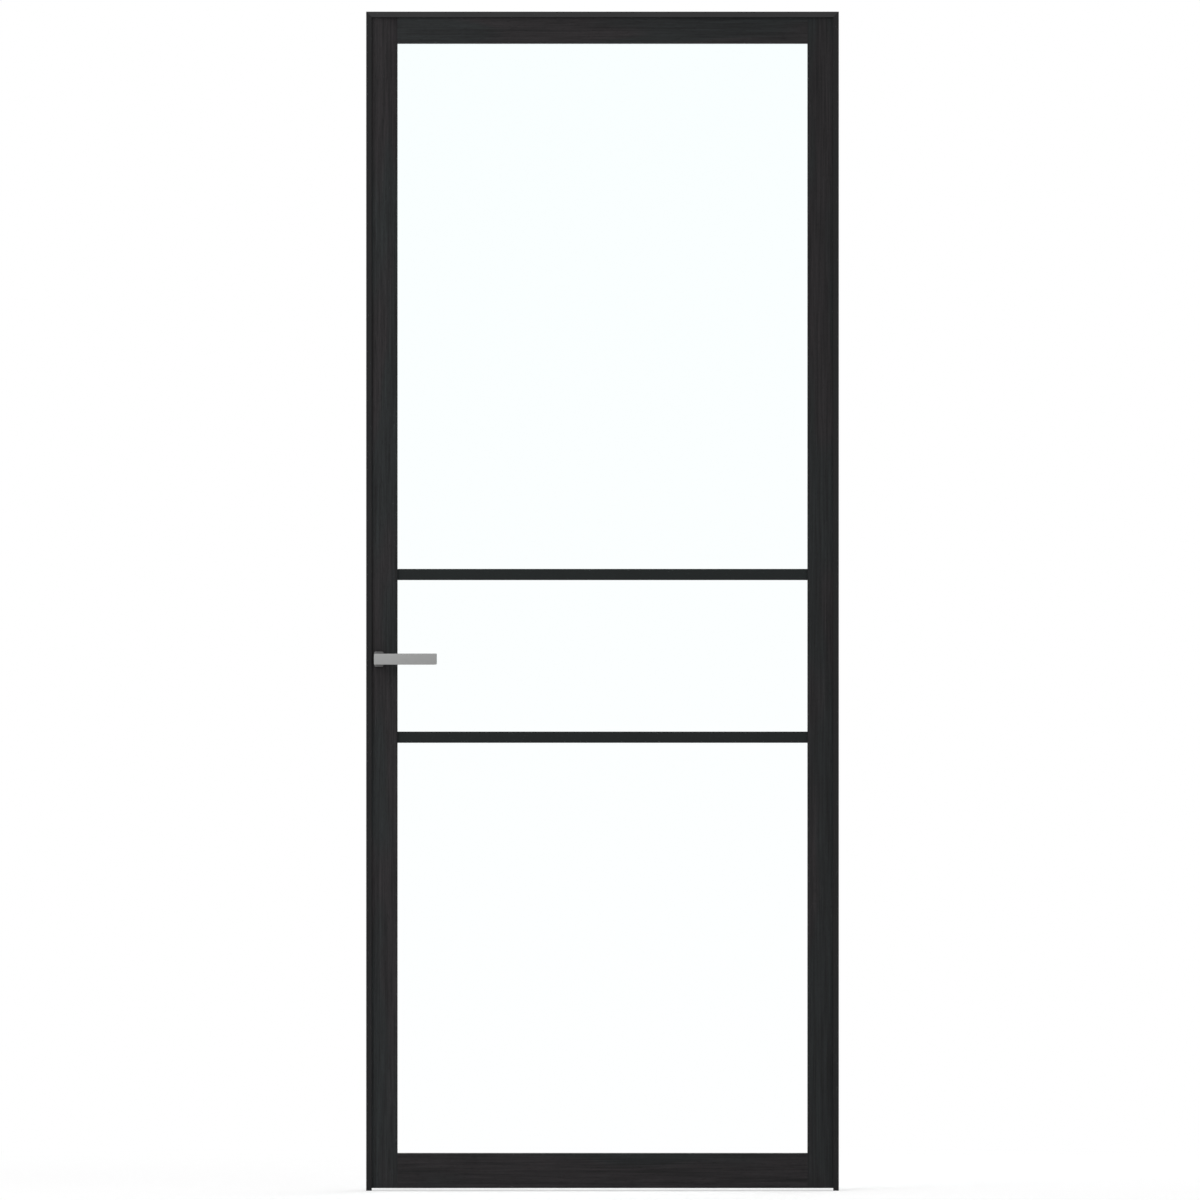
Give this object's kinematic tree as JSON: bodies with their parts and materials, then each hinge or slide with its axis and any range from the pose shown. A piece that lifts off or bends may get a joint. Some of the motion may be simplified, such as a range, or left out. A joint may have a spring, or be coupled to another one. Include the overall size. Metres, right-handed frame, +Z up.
{
  "type": "interior door",
  "caption": "Slim black interior door with clear glass, glazing bars and lever handles, hung on butt hinges in a steel angle frame; the lever draws back its latch.",
  "frame": {"origin": "on the floor, midway between the jambs, in the mid plane of the leaf", "axes": "+X towards the hinges, +Y towards the side that the leaf opens to, +Z up"},
  "size_m": [0.93, 0.14, 2.32],
  "materials": {
    "black_steel": "fine satin powder coat",
    "black_oak": "open grain under a matt black stain",
    "bar_black": "smooth satin black",
    "black_rubber": "matt",
    "clear_glass": "clear, with a faint cool tint",
    "satin_steel": "satin, brushed along its length",
    "zinc_steel": "zinc plated",
    "screw_steel": "blackened",
    "plain_wood": "planed, bare",
    "hard_plastic": "matt"
  },
  "bodies": {
    "frame": {"jamb_latch_side": "black_steel", "jamb_hinge_side": "black_steel", "head": "black_steel", "seal_latch_side": "black_rubber", "seal_hinge_side": "black_rubber", "seal_head": "black_rubber", "strike_plate": "satin_steel", "strike_screws": "satin_steel", "hinge_screws_frame": "screw_steel", "hinge_1_frame_flap": "black_steel", "hinge_1_pin": "black_steel", "hinge_2_frame_flap": "black_steel", "hinge_2_pin": "black_steel", "hinge_3_frame_flap": "black_steel", "hinge_3_pin": "black_steel", "hinge_4_frame_flap": "black_steel", "hinge_4_pin": "black_steel"},
    "leaf": {"stile_latch_side": "black_oak", "stile_hinge_side": "black_oak", "top_rail": "black_oak", "bottom_rail": "black_oak", "corner_dowels": "plain_wood", "hinge_screws_leaf": "screw_steel", "glass_pane": "clear_glass", "setting_blocks": "hard_plastic", "bedding_tape_front": "black_rubber", "bedding_tape_back": "black_rubber", "bar_tapes": "black_rubber", "bead_latch_side": "black_oak", "bead_hinge_side": "black_oak", "bead_top": "black_oak", "bead_bottom": "black_oak", "bead_pins": "screw_steel", "upper_bar_front": "bar_black", "upper_bar_back": "bar_black", "lower_bar_front": "bar_black", "lower_bar_back": "bar_black", "lock_case": "zinc_steel", "lock_cover": "zinc_steel", "lock_forend": "satin_steel", "lock_screws": "satin_steel", "latch_spring": "zinc_steel", "rose_base_front": "zinc_steel", "rose_base_back": "zinc_steel", "rose_cover_front": "satin_steel", "rose_cover_back": "satin_steel", "rose_screws": "zinc_steel", "hinge_1_leaf_flap": "black_steel", "hinge_2_leaf_flap": "black_steel", "hinge_3_leaf_flap": "black_steel", "hinge_4_leaf_flap": "black_steel"},
    "lever": {"lever_front": "satin_steel", "lever_back": "satin_steel", "spindle": "zinc_steel", "grub_screws": "screw_steel", "follower": "zinc_steel"},
    "latch": {"latch_bolt": "satin_steel"}
  },
  "joints": [
    {"name": "leaf_swing", "type": "hinge", "parent": "frame", "child": "leaf", "pos_m": [0.4585, 0.0255, 0], "axis": [0, 0, -1], "range_deg": [0, 170]},
    {"name": "lever_turn", "type": "hinge", "parent": "leaf", "child": "lever", "pos_m": [-0.44, 0, 1.046], "axis": [0, 1, 0], "range_deg": [0, 40], "stiffness_Nm_per_rad": 0.9, "springref_deg": -34.38},
    {"name": "latch_slide", "type": "slide", "parent": "leaf", "child": "latch", "axis": [1, 0, 0], "range_m": [0, 0.007], "deforming": ["latch_spring"]}
  ],
  "couplings": [
    {"joint": "latch_slide", "follows": "lever_turn", "m_per_rad": 0.010027}
  ]
}
